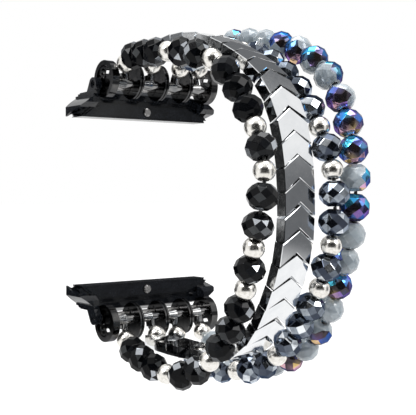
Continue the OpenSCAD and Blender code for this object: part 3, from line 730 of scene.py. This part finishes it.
for end in ENDS:
    soften(f"{end}_lug_adapter", 0.12)
    soften(f"{end}_connector_frame", 0.12)
    soften(f"{end}_end_fittings", 0.08)
for row in ROWS:
    soften(f"row_{row}_chevron_plates", 0.05)


# Stage: three soft lamps, a white world, studio cards that only reflections see, and the floor
def lamp(name, sideways, forward, height, size, strength):
    """A soft lamp that faces the loop's middle. Its place is from the camera's point of view, in metres."""
    light = bpy.data.lights.new(name, "AREA")
    light.shape = "RECTANGLE"
    light.size, light.size_y = size
    light.energy = strength
    obj = add_object(name, light)
    obj.location = MIDDLE + right * sideways - ahead * forward + Vector((0, 0, height))
    obj.rotation_mode = "QUATERNION"
    obj.rotation_quaternion = (MIDDLE - obj.location).to_track_quat("-Z", "Y")


lamp("key", -0.40, 0.35, 0.50, (0.26, 0.26), 3.0)
lamp("fill", 0.42, 0.30, 0.32, (0.25, 0.25), 1.4)
lamp("top", 0.05, -0.05, 0.60, (0.5, 0.35), 2.6)

AMBIENT = 0.45
world = bpy.data.worlds.new("world")
bpy.context.scene.world = world
s = Shader(world, "OutputWorld")
direct, mirrored = s.rays()
plain = s.node("Background", {"Color": grey(1.0), "Strength": AMBIENT}).outputs[0]
white = s.node("Background", {"Color": grey(1.0), "Strength": 1.0}).outputs[0]
s.finish(s.node("MixShader", {"Fac": s.either(direct, mirrored), 1: plain, 2: white}).outputs[0])


def card(name, points, value, margin):
    """A studio card on a grid of points. It fades to white towards its edges, over margin grid steps."""
    rows, columns = len(points), len(points[0])
    faces = [(i * columns + k, i * columns + k + 1, (i + 1) * columns + k + 1, (i + 1) * columns + k)
             for i in range(rows - 1) for k in range(columns - 1)]
    mesh = bpy.data.meshes.new(name)
    mesh.from_pydata([p for line in points for p in line], [], faces)
    fades = []
    for i in range(rows):
        for k in range(columns):
            inside = min(i / margin[0], (rows - 1 - i) / margin[0],
                         k / margin[1], (columns - 1 - k) / margin[1], 1)
            fade = inside * inside * (3 - 2 * inside)
            fades += (fade, fade, fade, 1)
    mesh.attributes.new("soft", "FLOAT_COLOR", "POINT").data.foreach_set("color", fades)
    obj = add_object(name, mesh)
    s = material(name)
    colour = s.mix(s.attribute("soft"), grey(1.0), (value, value * 1.03, value * 1.08, 1))
    paint(obj, s.finish(s.node("Emission", {"Color": colour, "Strength": 1.0}).outputs[0]))
    obj.visible_camera = False
    obj.visible_diffuse = False
    obj.visible_shadow = False
    obj.visible_transmission = False


CARD_STEP = 2  # degrees
MAT_RINGS = 16
MAT_CENTRE = Vector((0, -0.05, cad_box[0].z + 0.0004))  # under the middle of the beads, over the floor


def sweep(ends):
    """Angles between two ends in degrees, in radians."""
    steps = int((ends[1] - ends[0]) / CARD_STEP)
    return [math.radians(ends[0] + (ends[1] - ends[0]) * k / steps) for k in range(steps + 1)]


def level(angle):
    """The level way at an angle to the right of the camera, as the camera looks at the object."""
    return -ahead * math.cos(angle) + right * math.sin(angle)


def wall(name, az, el, value, radius=1.1, soft=7):
    """A patch of a sphere round the object. az is in degrees to the right of the camera and el in degrees
    above the horizon. The edges fade over soft degrees."""
    points = [[MIDDLE + (level(a) * math.cos(e) + Vector((0, 0, math.sin(e)))) * radius for a in sweep(az)]
              for e in sweep(el)]
    card(name, points, value, (soft / CARD_STEP, soft / CARD_STEP))


def mat(name, az, reach, value, soft=7):
    """A level card under the object, between two distances from the middle of the beads."""
    points = [[MAT_CENTRE + level(a) * (reach[0] * (reach[1] / reach[0]) ** (i / MAT_RINGS)) for a in sweep(az)]
              for i in range(MAT_RINGS + 1)]
    card(name, points, value, (2, soft / CARD_STEP))


wall("card_front", (-46, 48), (-27, 40), 0.012)
mat("mat_front", (-46, 48), (0.085, 1.1), 0.012)
wall("card_right", (66, 106), (-24, 16), 0.16)
mat("mat_right", (66, 106), (0.055, 1.1), 0.16)
wall("card_left", (-142, -92), (-30, 34), 0.015)
mat("mat_left", (-142, -92), (0.08, 1.1), 0.015)
wall("card_high", (15, 130), (52, 78), 0.25)
wall("card_back", (160, 205), (-16, 18), 0.03)
wall("card_back_high", (118, 186), (22, 58), 0.17)
wall("card_left_arch", (-126, -106), (7, 25), 0.17, 1.05, 2)

# The case holds the band clear of the floor, with room for it to hang lower when it is stretched or bent
FLOOR_DROP, FLOOR_HALF = 0.012, 3.0
bm = bmesh.new()
bmesh.ops.create_grid(bm, x_segments=8, y_segments=8, size=FLOOR_HALF)
mesh = bpy.data.meshes.new("floor")
bm.to_mesh(mesh)
bm.free()
floor = add_object("floor", mesh)
floor.location = (0, 0, cad_box[0].z - FLOOR_DROP)
s = material("floor")
direct, mirrored = s.rays()
matte = s.node("BsdfDiffuse", {"Color": grey(0.8)}).outputs[0]
sheet = s.node("Emission", {"Color": grey(1.0), "Strength": 1.12}).outputs[0]
# the lamps' pool of light ends some way from the band, and the floor's own glow takes over there
away = s.node("VectorMath", {0: s.place()}, operation="LENGTH").outputs["Value"]
fade = s.node("MapRange", {"Value": away, "From Min": 0.15, "From Max": 0.6, "To Min": 0.56, "To Max": 0.82})
glow = s.node("Emission", {"Color": grey(1.0), "Strength": fade.outputs[0]}).outputs[0]
lit = s.node("BsdfDiffuse", {"Color": grey(0.5)}).outputs[0]
both = s.node("AddShader", {0: lit, 1: glow}).outputs[0]
unseen = s.node("MixShader", {"Fac": mirrored, 1: matte, 2: sheet}).outputs[0]
paint(floor, s.finish(s.node("MixShader", {"Fac": direct, 1: unseen, 2: both}).outputs[0]))

bpy.context.scene.view_settings.view_transform = "Standard"
